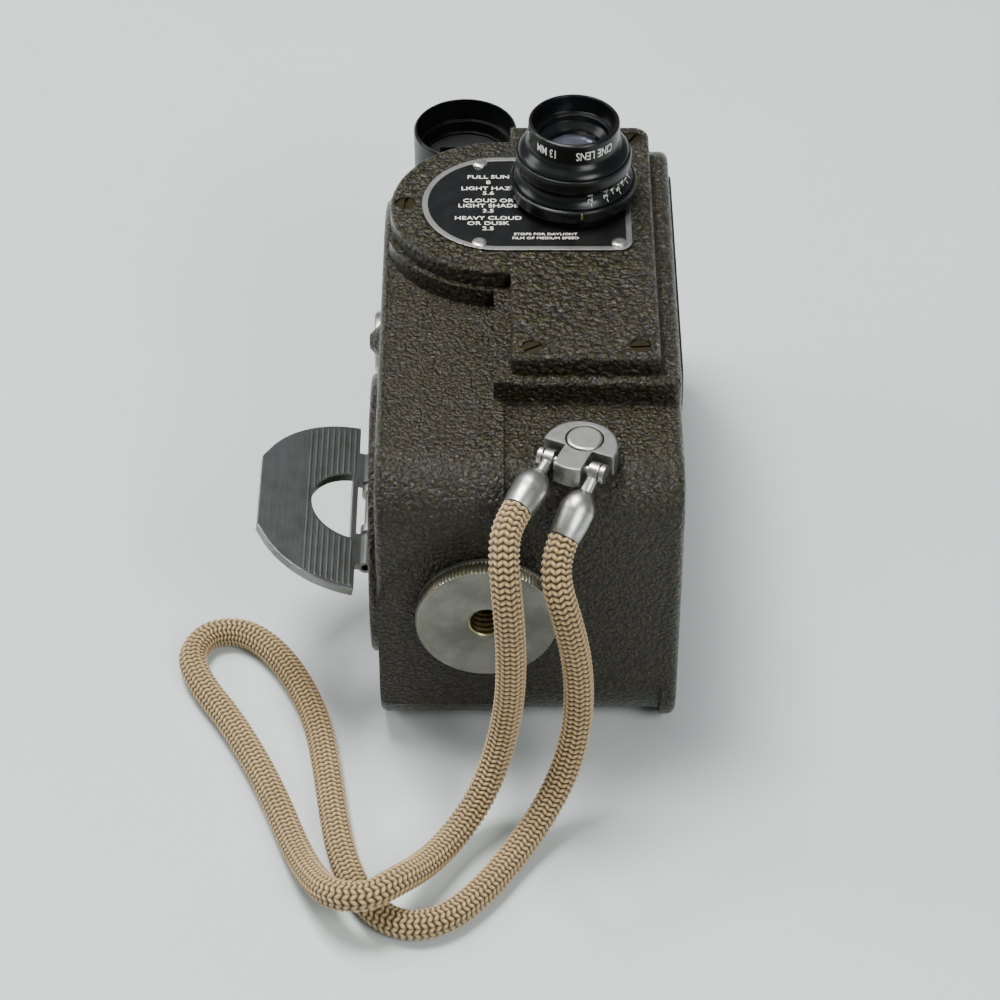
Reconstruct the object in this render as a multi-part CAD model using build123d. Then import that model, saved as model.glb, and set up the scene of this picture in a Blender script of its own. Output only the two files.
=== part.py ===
from build123d import *
import math
import os

# Spring-wound double-8 cine camera, lying on its back. Millimetres.
# X runs towards the film-door side, Y from the tripod end to the top of the
# camera, Z from the table along the lens axis. The shared zero of the values
# below is the bottom wall (Y), the table (Z) and a plane near the middle (X).

# ---- driving dimensions ----
# casing
DOOR_SEAM_X = 27.0
DOOR_THICK = 3.0
DOOR_X = DOOR_SEAM_X + DOOR_THICK
DIVIDE_X = -1.6
MOTOR_WALL_X = -22.9
SIDE_PLATE_X = -24.2
ROUND_COVER_X = -25.7
FILM_TOP_Y = 112.0
FILM_FRONT_Z = 62.0
MOTOR_TOP_Y = 104.0
MOTOR_STEP = 0.9
WALL = 2.2
MID_WALL = (-0.6, 1.4)
SNOUT_Y = (22.85, 97.5)
SNOUT_Z = 66.8
SNOUT_LEFT_X = -3.4
# front cover, concentric with the shutter
COVER_Z = 70.4
COVER_X = (-0.4, 26.2)
COVER_Y = (25.1, 95.4)
SHUTTER_X = -2.5
SHUTTER_Y = 70.3
SHUTTER_R = 16.6
SHUTTER_CAVITY_R = 17.0
COVER_R = 20.3
BOSS_R = 21.4
PLATE_R = 14.4
PLATE_RIGHT_X = 22.1
PLATE_Z = COVER_Z + 0.3
SCREW_SHANK_R = 0.65
COVER_SCREWS = ((-19.9, 70.8), (3.4, 28.4), (22.6, 28.8), (23.0, 91.6))
RIVETS = ((-6.1, 82.6), (-6.1, 58.0), (19.6, 58.0), (19.6, 82.6))
# taking lens
LENS_X = 11.35
LENS_Y = 73.8
LENS_FRONT_Z = 87.1
# finder
FINDER_X = -9.1
FINDER_Y = 103.2
CUP_R = 10.05
CUP_Z = (46.0, 64.5)
TUBE_R = 7.0
# spring motor and winding key
ARBOR_Y = 26.0
ARBOR_Z = 33.0
ARBOR_R = 3.0
ROUND_COVER_R = 25.5
KEY_HINGE_X = -26.6
KEY_PIN_R = 0.65
KEY_CURL_R = 1.3
KEY_WELL_R = 16.2
KEY_LEAN = 14.0
KEY_LENGTH = 20.4
KEY_HALF_WIDTH = 22.0
KEY_THICK = 1.6
# gear train, all on axes along X
MODULE = 0.6
BARREL_TEETH = 64
FIRST_PINION_TEETH = 15
FIRST_WHEEL_TEETH = 60
SECOND_PINION_TEETH = 14
SECOND_WHEEL_TEETH = 40
GOVERNOR_TEETH = 8
SECOND_Y = SHUTTER_Y
SECOND_Z = 44.0
GOVERNOR_ANGLE = -60.0
# film side
FEED_Y = 83.5
TAKEUP_Y = 28.2
SPOOL_Z = 28.0
SPOOL_R = 25.4
SPOOL_HUB_R = 16.0
# tripod bush
BUSH_X = -4.7
BUSH_Z = 33.0
BUSH_R = 12.7
BUSH_PROUD = 3.7
TRIPOD_R = 3.175
TRIPOD_DEPTH = 8.0
# wrist strap
HUB_X = 12.4
HUB_Y = 8.4
HUB_Z = (62.2, 66.2)
HUB_R = 6.6
HUB_OFFSET = 1.9
STUD_R = 3.2
HUB_TURN = -24.0
TONGUE_HALF = 2.5
EYE_OFFSET = 4.25
PIN_BACK = 5.4
PIN_Z = 64.4
FERRULE_R = 3.1
CORD_R = 2.65
LEFT_END = (0.6, -5.6, 62.2)
RIGHT_END = (8.7, -7.2, 57.2)

# The cord's route from the left ferrule to the right one, set by hand: down
# past the bottom wall, over the table, once over itself and back up.
CORD_ROUTE = (
    (-1.2, -9.1, 61.5),
    (-1.7, -13.0, 58.9),
    (-1.3, -15.8, 54.0),
    (-0.7, -17.2, 46.8),
    (-0.3, -17.6, 37.8),
    (-0.6, -17.4, 27.4),
    (-2.3, -18.2, 16.6),
    (-5.4, -21.8, 8.4),
    (-10.2, -28.2, 4.6),
    (-15.6, -36.2, 5.6),
    (-20.4, -43.2, 9.4),
    (-25.6, -47.2, 9.6),
    (-31.2, -45.8, 8.8),
    (-35.0, -39.0, 5.4),
    (-38.6, -30.0, 3.0),
    (-42.2, -19.6, 2.8),
    (-46.6, -9.0, 2.8),
    (-52.2, 2.0, 2.8),
    (-58.2, 11.2, 2.8),
    (-61.0, 18.6, 2.8),
    (-58.0, 24.8, 2.8),
    (-51.2, 25.8, 2.8),
    (-44.8, 20.2, 2.8),
    (-39.6, 11.2, 2.8),
    (-35.8, 1.0, 2.8),
    (-33.8, -10.0, 2.8),
    (-32.2, -21.2, 2.8),
    (-30.2, -32.0, 2.8),
    (-26.6, -41.6, 2.8),
    (-20.4, -47.6, 2.8),
    (-12.6, -47.0, 2.8),
    (-5.8, -40.4, 2.8),
    (0.0, -31.6, 3.0),
    (4.8, -24.8, 5.2),
    (8.8, -20.0, 10.6),
    (11.2, -17.0, 18.8),
    (11.7, -15.6, 28.0),
    (10.9, -15.0, 37.0),
    (9.1, -14.6, 45.4),
    (7.4, -13.0, 51.2),
    (7.3, -10.1, 55.0),
)

# The part's own origin: the middle of its footprint, without the strap cord.
KEY_TIP_X = KEY_HINGE_X - KEY_LENGTH * math.cos(math.radians(KEY_LEAN))
KEY_TIP_X -= 0.5 * KEY_THICK * math.sin(math.radians(KEY_LEAN))
DOOR_PLATE_X = DOOR_X + 0.4
ORIGIN_X = 0.5 * (KEY_TIP_X + DOOR_PLATE_X)
ORIGIN_Y = 0.5 * (FINDER_Y + CUP_R - BUSH_PROUD)


# ---- shared shapes ----
def block(x, y, z):
    """Box from pairs of low and high values."""
    size = (x[1] - x[0], y[1] - y[0], z[1] - z[0])
    middle = ((x[0] + x[1]) / 2, (y[0] + y[1]) / 2, (z[0] + z[1]) / 2)
    return Pos(*middle) * Box(*size)


def rod_x(x, y, z, radius):
    """Cylinder along X between a pair of X values."""
    return Pos((x[0] + x[1]) / 2, y, z) * Rot(0, 90, 0) * Cylinder(radius, x[1] - x[0])


def rod_y(x, y, z, radius):
    """Cylinder along Y between a pair of Y values."""
    return Pos(x, (y[0] + y[1]) / 2, z) * Rot(90, 0, 0) * Cylinder(radius, y[1] - y[0])


def rod_z(x, y, z, radius):
    """Cylinder along Z between a pair of Z values."""
    return Pos(x, y, (z[0] + z[1]) / 2) * Cylinder(radius, z[1] - z[0])


def rounded(a, b, corners):
    """Rectangle over pairs a and b; corners holds (a, b, radius) for its round ones."""
    face = Pos((a[0] + a[1]) / 2, (b[0] + b[1]) / 2) * Rectangle(a[1] - a[0], b[1] - b[0])
    for at_a, at_b, radius in corners:
        near = min(face.vertices(), key=lambda v: (v.X - at_a) ** 2 + (v.Y - at_b) ** 2)
        face = fillet([near], radius)
    return face


def slab(outline, x):
    """Extrude a (Y, Z) outline along X between a pair of X values."""
    return extrude(Plane.YZ.offset(x[0]) * outline, amount=x[1] - x[0])


def plate_z(outline, z):
    """Extrude an (X, Y) outline along Z between a pair of Z values."""
    return extrude(Pos(0, 0, z[0]) * outline, amount=z[1] - z[0])


def turned(points, x, y):
    """Solid of revolution about a Z axis at x, y, from (radius, z) points."""
    profile = make_face(Polyline(*[(r, 0, z) for r, z in points], close=True))
    return Pos(x, y, 0) * revolve(profile, Axis.Z, 360)


def gear(x, y, z, teeth, phase):
    """Straight-toothed gear about an X axis; one tooth points at angle phase."""
    pitch_r = MODULE * teeth / 2
    root_r = pitch_r - 0.9 * MODULE
    tip_r = pitch_r + 0.6 * MODULE
    step = 360 / teeth
    points = []
    for tooth in range(teeth):
        for share, radius in ((-0.25, root_r), (-0.13, tip_r), (0.13, tip_r), (0.25, root_r)):
            angle = math.radians(phase + (tooth + share) * step)
            points.append((radius * math.cos(angle), radius * math.sin(angle)))
    outline = make_face(Polyline(*points, close=True))
    return slab(Pos(y, z) * outline, x)


def mesh_phase(angle, teeth):
    """Phase that puts a gap of a gear opposite a tooth that points at angle."""
    return angle + 180 + 180 / teeth


def round_edges(shape, radius, axis, end):
    """Fillet the outer edges of the end face of a shape along an axis."""
    face = shape.faces().sort_by(axis)[end]
    return fillet(face.outer_wire().edges(), radius)


def together(shapes):
    """Separate solids of one node."""
    group = shapes[0]
    for shape in shapes[1:]:
        group += shape
    return group


def save(shape, name):
    """Write one node in the part's own frame."""
    export_step(Pos(-ORIGIN_X, -ORIGIN_Y, 0) * shape, "parts/" + name + ".step")


# ---- casing ----
def film_outline(inset, round_back):
    """Outline of the film side: box with round corners, and the snout."""
    body = rounded(
        (inset, FILM_TOP_Y - inset),
        (inset, FILM_FRONT_Z - inset),
        (
            (inset, FILM_FRONT_Z - inset, 9.5 - inset / 2),
            (inset, inset, round_back - inset),
            (FILM_TOP_Y - inset, inset, 24 - inset),
            (FILM_TOP_Y - inset, FILM_FRONT_Z - inset, 22 - inset),
        ),
    )
    return body


def snout_outline():
    """The raised front of the film side, seen from the door."""
    return rounded(SNOUT_Y, (40.0, SNOUT_Z), ((SNOUT_Y[0], SNOUT_Z, 1.2), (SNOUT_Y[1], SNOUT_Z, 8.0)))


def motor_outline(inset):
    """Outline of the motor side, whose front top is a large round."""
    low_y = inset - MOTOR_STEP
    high_y = MOTOR_TOP_Y - inset
    high_z = FILM_FRONT_Z + MOTOR_STEP - inset
    corners = (
        (low_y, high_z, 10.2 - inset / 2),
        (low_y, inset, 14 - inset),
        (high_y, inset, 20 - inset),
        (high_y, high_z, 33 - inset),
    )
    return rounded((low_y, high_y), (inset, high_z), corners)


COLUMNS = ((58.0, 58.0), (60.0, 5.0), (90.0, 50.0))


def make_bottom_step():
    """What is taken off the motor side's bottom, round the bush and behind it."""
    step = rod_y(BUSH_X, (-5.0, 0.0), BUSH_Z, 19.5)
    return step + block((ROUND_COVER_X, DIVIDE_X), (-5.0, 0.0), (-1.0, BUSH_Z))


def make_housing():
    """One casting: film box, motor box, wall between them, snout, finder shroud."""
    shell = slab(film_outline(0, 14), (DIVIDE_X, DOOR_SEAM_X))
    shell += slab(motor_outline(0), (MOTOR_WALL_X, DIVIDE_X))
    shell -= make_bottom_step()
    shell += slab(snout_outline(), (COVER_X[0], DOOR_SEAM_X))
    strip = block((SNOUT_LEFT_X, 0.0), (SNOUT_Y[0], SHUTTER_Y), (50.0, SNOUT_Z))
    shell += strip
    boss = rod_z(SHUTTER_X, SHUTTER_Y, (50.0, SNOUT_Z), BOSS_R)
    shell += boss & block((MOTOR_WALL_X, 30.0), (0.0, 110.0), (0.0, 80.0))
    shell += rod_z(FINDER_X, FINDER_Y, (1.2, CUP_Z[0]), CUP_R)
    shell += block((FINDER_X - CUP_R, 1.0), (80.0, FINDER_Y), (1.2, CUP_Z[0]))
    shell += rod_z(HUB_X, HUB_Y, (52.0, HUB_Z[0]), HUB_R + 0.2)
    shell -= slab(film_outline(WALL, 14), (MID_WALL[1], DOOR_SEAM_X))
    shell -= slab(motor_outline(WALL), (MOTOR_WALL_X, MID_WALL[0]))
    shell += rod_z(HUB_X, HUB_Y, (57.0, 61.0), HUB_R)
    for y, z in COLUMNS:
        column = rod_x((MOTOR_WALL_X, MID_WALL[0]), y, z, 2.6)
        shell += column
        shell -= rod_x((MOTOR_WALL_X, MOTOR_WALL_X + 5.0), y, z, 1.0)
    shell += block((-4.0, MID_WALL[0]), (67.0, 73.6), (46.8, 49.0))
    shell -= rod_z(SHUTTER_X, SHUTTER_Y, (62.9, SNOUT_Z), SHUTTER_CAVITY_R)
    shell -= rod_z(SHUTTER_X, SHUTTER_Y, (45.0, SNOUT_Z), 1.25)
    shell -= block((LENS_X - 3.5, LENS_X + 3.5), (LENS_Y - 3.0, LENS_Y + 3.0), (58.0, SNOUT_Z))
    shell -= rod_z(FINDER_X, FINDER_Y, (CUP_Z[0], 80.0), CUP_R)
    shell -= rod_z(FINDER_X, FINDER_Y, (-1.0, 50.0), TUBE_R)
    shell -= rod_y(BUSH_X, (-5.0, 6.0), BUSH_Z, 5.0)
    shell -= rod_z(HUB_X, HUB_Y, (58.0, 70.0), 1.6)
    shell -= rod_x((-1.0, 0.4), ARBOR_Y, ARBOR_Z, ARBOR_R + 0.05)
    for y, z in (FIRST_AT, (SECOND_Y, SECOND_Z), GOVERNOR_AT):
        shell -= rod_x((-1.0, 0.4), y, z, 1.05)
    for y in (FEED_Y, TAKEUP_Y):
        shell -= rod_x((0.0, 2.0), y, SPOOL_Z, 2.0)
    for x, y in COVER_SCREWS:
        shell -= rod_z(x, y, (64.2, SNOUT_Z), SCREW_SHANK_R)
    shell += block((26.1, 26.8), (108.4, FILM_TOP_Y - 1.0), (26.0, 34.0))
    return shell


def make_front_cover():
    outline = rounded(
        COVER_X,
        COVER_Y,
        ((COVER_X[1], COVER_Y[1], 3.0), (COVER_X[1], COVER_Y[0], 1.5), (COVER_X[0], COVER_Y[0], 1.0)),
    )
    outline += Pos(SHUTTER_X, SHUTTER_Y) * Circle(COVER_R)
    cover = round_edges(plate_z(outline, (SNOUT_Z, COVER_Z)), 0.8, Axis.Z, -1)
    cover -= rod_z(LENS_X, LENS_Y, (SNOUT_Z, COVER_Z), 7.5)
    for x, y in COVER_SCREWS:
        cover -= rod_z(x, y, (SNOUT_Z, COVER_Z), SCREW_SHANK_R)
        cover -= rod_z(x, y, (COVER_Z - 1.2, COVER_Z), 1.9)
    for x, y in RIVETS:
        cover -= rod_z(x, y, (COVER_Z - 1.0, COVER_Z), 0.7)
    return cover


def make_screw(head_r, head_high, shank_r, shank_long, slot_turn):
    """Slotted screw, head top at z = 0, shank down."""
    screw = rod_z(0, 0, (-head_high, 0), head_r)
    screw -= Rot(0, 0, slot_turn) * Box(2.4 * head_r, 0.5, 1.0)
    return screw + rod_z(0, 0, (-head_high - shank_long, -head_high), shank_r)


def make_exposure_plate():
    outline = rounded(
        (SHUTTER_X, PLATE_RIGHT_X),
        (SHUTTER_Y - PLATE_R, SHUTTER_Y + PLATE_R),
        ((PLATE_RIGHT_X, SHUTTER_Y - PLATE_R, 2.6), (PLATE_RIGHT_X, SHUTTER_Y + PLATE_R, 2.6)),
    )
    outline += Pos(SHUTTER_X, SHUTTER_Y) * Circle(PLATE_R)
    plate = plate_z(outline, (COVER_Z, PLATE_Z)) - rod_z(LENS_X, LENS_Y, (COVER_Z, PLATE_Z), 7.5)
    for x, y in RIVETS:
        plate -= rod_z(x, y, (COVER_Z, PLATE_Z), 0.7)
    return plate


def make_rivet():
    head = turned(((0, 0), (1.5, 0), (1.3, 0.35), (0.8, 0.5), (0, 0.5)), 0, 0)
    return head + rod_z(0, 0, (-1.2, 0), 0.7)


LATCH_Y = 99.5
LATCH_Z = 30.0


def make_door():
    outline = film_outline(0, 11) + snout_outline()
    door = round_edges(slab(outline, (DOOR_SEAM_X, DOOR_X)), 1.6, Axis.X, -1)
    door -= rod_x((DOOR_X - 1.8, DOOR_X), LATCH_Y, LATCH_Z, 7.3)
    door -= rod_x((DOOR_SEAM_X, DOOR_X), LATCH_Y, LATCH_Z, 1.65)
    return door


def make_door_plate():
    outline = rounded(
        (27.0, 91.0),
        (12.0, 64.6),
        ((27.0, 12.0, 4.0), (27.0, 64.6, 3.0), (91.0, 12.0, 4.0), (91.0, 64.6, 6.0)),
    )
    return slab(outline, (DOOR_X, DOOR_PLATE_X))


def make_latch_knob():
    knob = rod_x((DOOR_X - 1.7, DOOR_X - 0.7), LATCH_Y, LATCH_Z, 7.0)
    knob += block((DOOR_X - 0.8, DOOR_X + 0.3), (LATCH_Y - 6.0, LATCH_Y + 6.0), (LATCH_Z - 0.9, LATCH_Z + 0.9))
    return knob + rod_x((26.0, DOOR_X - 1.6), LATCH_Y, LATCH_Z, 1.6)


def make_latch_tongue():
    bar = block((24.6, 26.0), (LATCH_Y - 2.2, LATCH_Y + 2.2), (LATCH_Z - 9.6, LATCH_Z + 2.2))
    return fillet(bar.edges().filter_by(Axis.X), 1.5)


BUTTON_Y = 48.0
BUTTON_Z = 55.6
SPEED_AT = (74.0, 34.0)
FOOTAGE_AT = (86.0, 17.0)


def make_side_cover():
    """Flat plate over the motor box, with the raised round over the spring."""
    cover = slab(motor_outline(0), (SIDE_PLATE_X, MOTOR_WALL_X))
    cover = round_edges(cover, 1.15, Axis.X, 0) - make_bottom_step()
    dome = round_edges(rod_x((ROUND_COVER_X, SIDE_PLATE_X), ARBOR_Y, ARBOR_Z, ROUND_COVER_R), 0.7, Axis.X, 0)
    cover += dome - rod_x((ROUND_COVER_X, SIDE_PLATE_X + 0.2), ARBOR_Y, ARBOR_Z, KEY_WELL_R)
    cover -= rod_x((ROUND_COVER_X, SIDE_PLATE_X + 0.1), ARBOR_Y, ARBOR_Z, KEY_WELL_R)
    cover -= rod_x((-30.0, -20.0), ARBOR_Y, ARBOR_Z, ARBOR_R + 0.05)
    cover -= rod_x((-30.0, -20.0), BUTTON_Y, BUTTON_Z, 3.65)
    cover -= rod_x((-30.0, -20.0), SPEED_AT[0], SPEED_AT[1], 1.55)
    cover -= rod_x((-30.0, -20.0), FOOTAGE_AT[0], FOOTAGE_AT[1], 1.05)
    cover -= rod_x((SIDE_PLATE_X, SIDE_PLATE_X + 0.8), FOOTAGE_AT[0], FOOTAGE_AT[1], 6.3)
    for y, z in COLUMNS:
        cover -= rod_x((SIDE_PLATE_X, MOTOR_WALL_X), y, z, 1.0)
        cover -= rod_x((SIDE_PLATE_X, SIDE_PLATE_X + 0.7), y, z, 1.9)
    return cover


def make_start_button():
    cone = Cone(3.5, 1.35, 2.1)
    button = Pos(SIDE_PLATE_X - 1.05, BUTTON_Y, BUTTON_Z) * Rot(0, -90, 0) * cone
    button += rod_x((SIDE_PLATE_X, -22.7), BUTTON_Y, BUTTON_Z, 3.5)
    return button + rod_x((-22.7, -22.1), BUTTON_Y, BUTTON_Z, 1.4)


def make_speed_dial():
    y, z = SPEED_AT
    dial = round_edges(rod_x((-26.6, SIDE_PLATE_X - 0.2), y, z, 6.2), 0.5, Axis.X, 0)
    dial += rod_x((SIDE_PLATE_X - 0.2, -21.6), y, z, 1.5)
    return dial - block((-27.0, -26.2), (y, y + 5.4), (z - 0.5, z + 0.5))


def make_footage_dial():
    y, z = FOOTAGE_AT
    dial = rod_x((SIDE_PLATE_X + 0.1, SIDE_PLATE_X + 0.6), y, z, 6.0)
    return dial + rod_x((SIDE_PLATE_X + 0.6, -21.4), y, z, 1.0)


# ---- finder ----
def make_finder_cup():
    points = (
        (8.2, CUP_Z[0]),
        (CUP_R, CUP_Z[0]),
        (CUP_R, CUP_Z[1] - 0.4),
        (CUP_R - 0.3, CUP_Z[1]),
        (9.5, CUP_Z[1]),
        (9.3, CUP_Z[1] - 4.6),
        (8.7, CUP_Z[1] - 4.6),
        (8.7, CUP_Z[1] - 7.0),
        (8.2, CUP_Z[1] - 7.0),
    )
    return turned(points, FINDER_X, FINDER_Y)


def make_finder_mask():
    z = CUP_Z[1] - 8.4
    mask = rod_z(FINDER_X, FINDER_Y, (z, z + 1.0), 8.2)
    return mask - block((FINDER_X - 5.0, FINDER_X + 5.0), (FINDER_Y - 3.8, FINDER_Y + 3.8), (z, z + 1.0))


def make_finder_tube():
    tube = rod_z(FINDER_X, FINDER_Y, (3.2, CUP_Z[0]), TUBE_R)
    return tube - rod_z(FINDER_X, FINDER_Y, (3.2, CUP_Z[0]), TUBE_R - 0.8)


def make_lens(x, y, z, radius, edge, bulge):
    """Glass with a flat back at z and a crown of height bulge."""
    ball_r = (radius ** 2 + bulge ** 2) / (2 * bulge)
    glass = rod_z(x, y, (z, z + edge + bulge), radius)
    return glass & (Pos(x, y, z + edge + bulge - ball_r) * Sphere(ball_r))


# ---- taking lens ----
def make_lens_mount():
    points = (
        (4.3, 66.9),
        (7.5, 66.9),
        (7.5, PLATE_Z),
        (10.4, PLATE_Z),
        (10.4, 71.9),
        (11.6, 71.9),
        (11.8, 72.1),
        (11.8, 74.2),
        (11.5, 74.5),
        (7.3, 74.5),
        (7.3, 73.2),
        (4.3, 73.2),
    )
    return turned(points, LENS_X, LENS_Y)


def make_aperture_ring():
    points = (
        (7.06, 74.65),
        (11.2, 74.65),
        (10.6, 75.1),
        (10.15, 75.7),
        (9.9, 76.5),
        (10.1, 77.1),
        (10.55, 77.6),
        (10.8, 78.3),
        (10.8, 79.9),
        (10.6, 80.5),
        (7.06, 80.5),
    )
    return turned(points, LENS_X, LENS_Y)


def make_lens_barrel():
    points = (
        (5.2, 73.2),
        (7.0, 73.2),
        (7.0, 80.65),
        (10.4, 80.65),
        (9.9, 81.3),
        (8.9, 82.1),
        (8.45, 82.8),
        (8.45, LENS_FRONT_Z - 0.3),
        (8.2, LENS_FRONT_Z),
        (7.8, LENS_FRONT_Z),
        (7.6, 83.6),
        (6.6, 83.6),
        (6.6, 82.4),
        (5.2, 81.2),
    )
    return turned(points, LENS_X, LENS_Y)


def make_iris():
    leaf = rod_z(LENS_X, LENS_Y, (76.6, 76.9), 5.2)
    return leaf - rod_z(LENS_X, LENS_Y, (76.6, 76.9), 1.9)


# ---- spring motor ----
BARREL_X = (-18.9, -8.9)
BARREL_R = 18.5


def make_barrel():
    drum = rod_x(BARREL_X, ARBOR_Y, ARBOR_Z, BARREL_R)
    drum -= rod_x((BARREL_X[0] + 1.0, BARREL_X[1] - 1.0), ARBOR_Y, ARBOR_Z, BARREL_R - 1.2)
    drum += gear((BARREL_X[1], -7.6), ARBOR_Y, ARBOR_Z, BARREL_TEETH, FIRST_ANGLE)
    return drum - rod_x((-20.0, -7.0), ARBOR_Y, ARBOR_Z, ARBOR_R + 0.05)


def make_mainspring():
    """Flat spiral strip, wound from near the arbor to near the drum wall."""
    turns = 7
    steps = 24
    thick = 0.5
    low_r = ARBOR_R + 0.6
    pitch = (BARREL_R - 2.2 - low_r) / turns
    inner = []
    outer = []
    for step in range(turns * steps + 1):
        angle = math.radians(step * 360 / steps)
        radius = low_r + pitch * step / steps
        inner.append((radius * math.cos(angle), radius * math.sin(angle)))
        outer.append(((radius + thick) * math.cos(angle), (radius + thick) * math.sin(angle)))
    outline = make_face(Polyline(*inner, *reversed(outer), close=True))
    return slab(Pos(ARBOR_Y, ARBOR_Z) * outline, (BARREL_X[0] + 1.5, BARREL_X[1] - 1.5))


def make_arbor():
    return rod_x((SIDE_PLATE_X - 1.0, 0.2), ARBOR_Y, ARBOR_Z, ARBOR_R)


RATCHET_R = 8.0
RATCHET_X = (-22.3, -21.2)
PAWL_AT = (ARBOR_Y + 15.0, ARBOR_Z + 4.0)


def make_ratchet():
    points = []
    teeth = 18
    for tooth in range(teeth):
        start = math.radians(tooth * 360 / teeth)
        points.append((RATCHET_R * math.cos(start), RATCHET_R * math.sin(start)))
        points.append(((RATCHET_R - 1.2) * math.cos(start), (RATCHET_R - 1.2) * math.sin(start)))
    wheel = slab(Pos(ARBOR_Y, ARBOR_Z) * make_face(Polyline(*points, close=True)), RATCHET_X)
    return wheel - rod_x(RATCHET_X, ARBOR_Y, ARBOR_Z, ARBOR_R)


def make_pawl():
    y, z = PAWL_AT
    tip_y = ARBOR_Y + RATCHET_R + 0.2
    points = ((y, z + 2.0), (tip_y + 1.0, z - 1.2), (tip_y, z - 3.6), (tip_y + 2.4, z - 2.6), (y, z - 2.0))
    pawl = slab(make_face(Polyline(*points, close=True)), RATCHET_X)
    pawl += rod_x(RATCHET_X, y, z, 2.0)
    return pawl - rod_x(RATCHET_X, y, z, 0.9)


def make_pawl_pin():
    y, z = PAWL_AT
    return rod_x((-22.6, -19.9), y, z, 0.85)


MECHANISM_X = (-20.8, -19.7)


def make_mechanism_plate():
    """Bearing plate of the train, held on the casing's columns by its lugs."""
    outline = rounded(
        (5.0, 92.0),
        (8.0, 56.0),
        ((5.0, 8.0, 6.0), (5.0, 56.0, 6.0), (92.0, 8.0, 10.0), (92.0, 56.0, 20.0)),
    )
    plate = slab(outline, MECHANISM_X)
    plate -= rod_x(MECHANISM_X, ARBOR_Y, ARBOR_Z, ARBOR_R + 0.05)
    for y, z in (FIRST_AT, (SECOND_Y, SECOND_Z), GOVERNOR_AT):
        plate -= rod_x(MECHANISM_X, y, z, 1.05)
    plate -= rod_x(MECHANISM_X, PAWL_AT[0], PAWL_AT[1], 0.85)
    for y, z in COLUMNS:
        plate -= rod_x(MECHANISM_X, y, z, 2.7)
    return plate


def make_plate_pillars():
    pillars = []
    for y, z in PILLARS:
        pillars.append(rod_x((MECHANISM_X[1], MID_WALL[0]), y, z, 1.8))
    return together(pillars)


PILLARS = ((10.5, 13.5), (55.0, 12.5), (88.0, 20.0))


# ---- gear train ----
def place_first():
    """Centre of the first wheel, from its distances to the barrel and second arbor."""
    near = MODULE * (BARREL_TEETH + FIRST_PINION_TEETH) / 2
    far = MODULE * (FIRST_WHEEL_TEETH + SECOND_PINION_TEETH) / 2
    dy = SECOND_Y - ARBOR_Y
    dz = SECOND_Z - ARBOR_Z
    span = math.hypot(dy, dz)
    along = (near ** 2 - far ** 2 + span ** 2) / (2 * span)
    side = -math.sqrt(near ** 2 - along ** 2)
    y = ARBOR_Y + (along * dy - side * dz) / span
    z = ARBOR_Z + (along * dz + side * dy) / span
    return y, z


FIRST_AT = place_first()
FIRST_ANGLE = math.degrees(math.atan2(FIRST_AT[1] - ARBOR_Z, FIRST_AT[0] - ARBOR_Y))
SECOND_ANGLE = math.degrees(math.atan2(SECOND_Z - FIRST_AT[1], SECOND_Y - FIRST_AT[0]))
GOVERNOR_REACH = MODULE * (SECOND_WHEEL_TEETH + GOVERNOR_TEETH) / 2
GOVERNOR_AT = (
    SECOND_Y + GOVERNOR_REACH * math.cos(math.radians(GOVERNOR_ANGLE)),
    SECOND_Z + GOVERNOR_REACH * math.sin(math.radians(GOVERNOR_ANGLE)),
)


def make_first_wheel():
    y, z = FIRST_AT
    wheel = gear((-7.1, -5.9), y, z, FIRST_WHEEL_TEETH, SECOND_ANGLE)
    wheel += gear((-9.3, -7.0), y, z, FIRST_PINION_TEETH, mesh_phase(FIRST_ANGLE, FIRST_PINION_TEETH))
    for spoke in range(5):
        angle = math.radians(spoke * 72)
        wheel -= rod_x((-7.1, -5.9), y + 10.5 * math.cos(angle), z + 10.5 * math.sin(angle), 4.2)
    return wheel + rod_x((-20.6, 0.2), y, z, 1.0)


def make_second_wheel():
    wheel = gear((-7.3, -5.7), SECOND_Y, SECOND_Z, SECOND_PINION_TEETH, mesh_phase(SECOND_ANGLE, SECOND_PINION_TEETH))
    wheel += gear((-17.6, -16.4), SECOND_Y, SECOND_Z, SECOND_WHEEL_TEETH, GOVERNOR_ANGLE)
    wheel += rod_x((-17.6, -4.6), SECOND_Y, SECOND_Z, 2.2)
    crown = rod_x((-5.4, -4.6), SECOND_Y, SECOND_Z, 9.4)
    for tooth in range(36):
        tip = block((-4.6, -4.25), (-0.35, 0.35), (7.9, 9.3))
        crown += Pos(0, SECOND_Y, SECOND_Z) * Rot(tooth * 10, 0, 0) * tip
    return wheel + crown + rod_x((-20.6, 0.2), SECOND_Y, SECOND_Z, 1.0)


def make_governor():
    y, z = GOVERNOR_AT
    rotor = gear((-17.8, -16.2), y, z, GOVERNOR_TEETH, mesh_phase(GOVERNOR_ANGLE, GOVERNOR_TEETH))
    rotor += rod_x((-20.6, 0.2), y, z, 1.0)
    rotor += rod_x((-11.8, -9.2), y, z, 2.4)
    for side in (-1, 1):
        rotor += block((-11.2, -9.6), (y - 1.2, y + 1.2), (z + min(0, 5.6 * side), z + max(0, 5.6 * side)))
        rotor += rod_x((-11.6, -9.2), y, z + 5.0 * side, 1.7)
    return rotor


def make_governor_cup():
    y, z = GOVERNOR_AT
    cup = rod_x((-13.0, -7.6), y, z, 8.6) - rod_x((-13.0, -8.6), y, z, 7.6)
    cup += rod_x((-8.6, MID_WALL[0]), y + 5.2, z - 5.2, 1.5)
    return cup - rod_x((-9.0, -7.0), y, z, 1.15)


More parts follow.
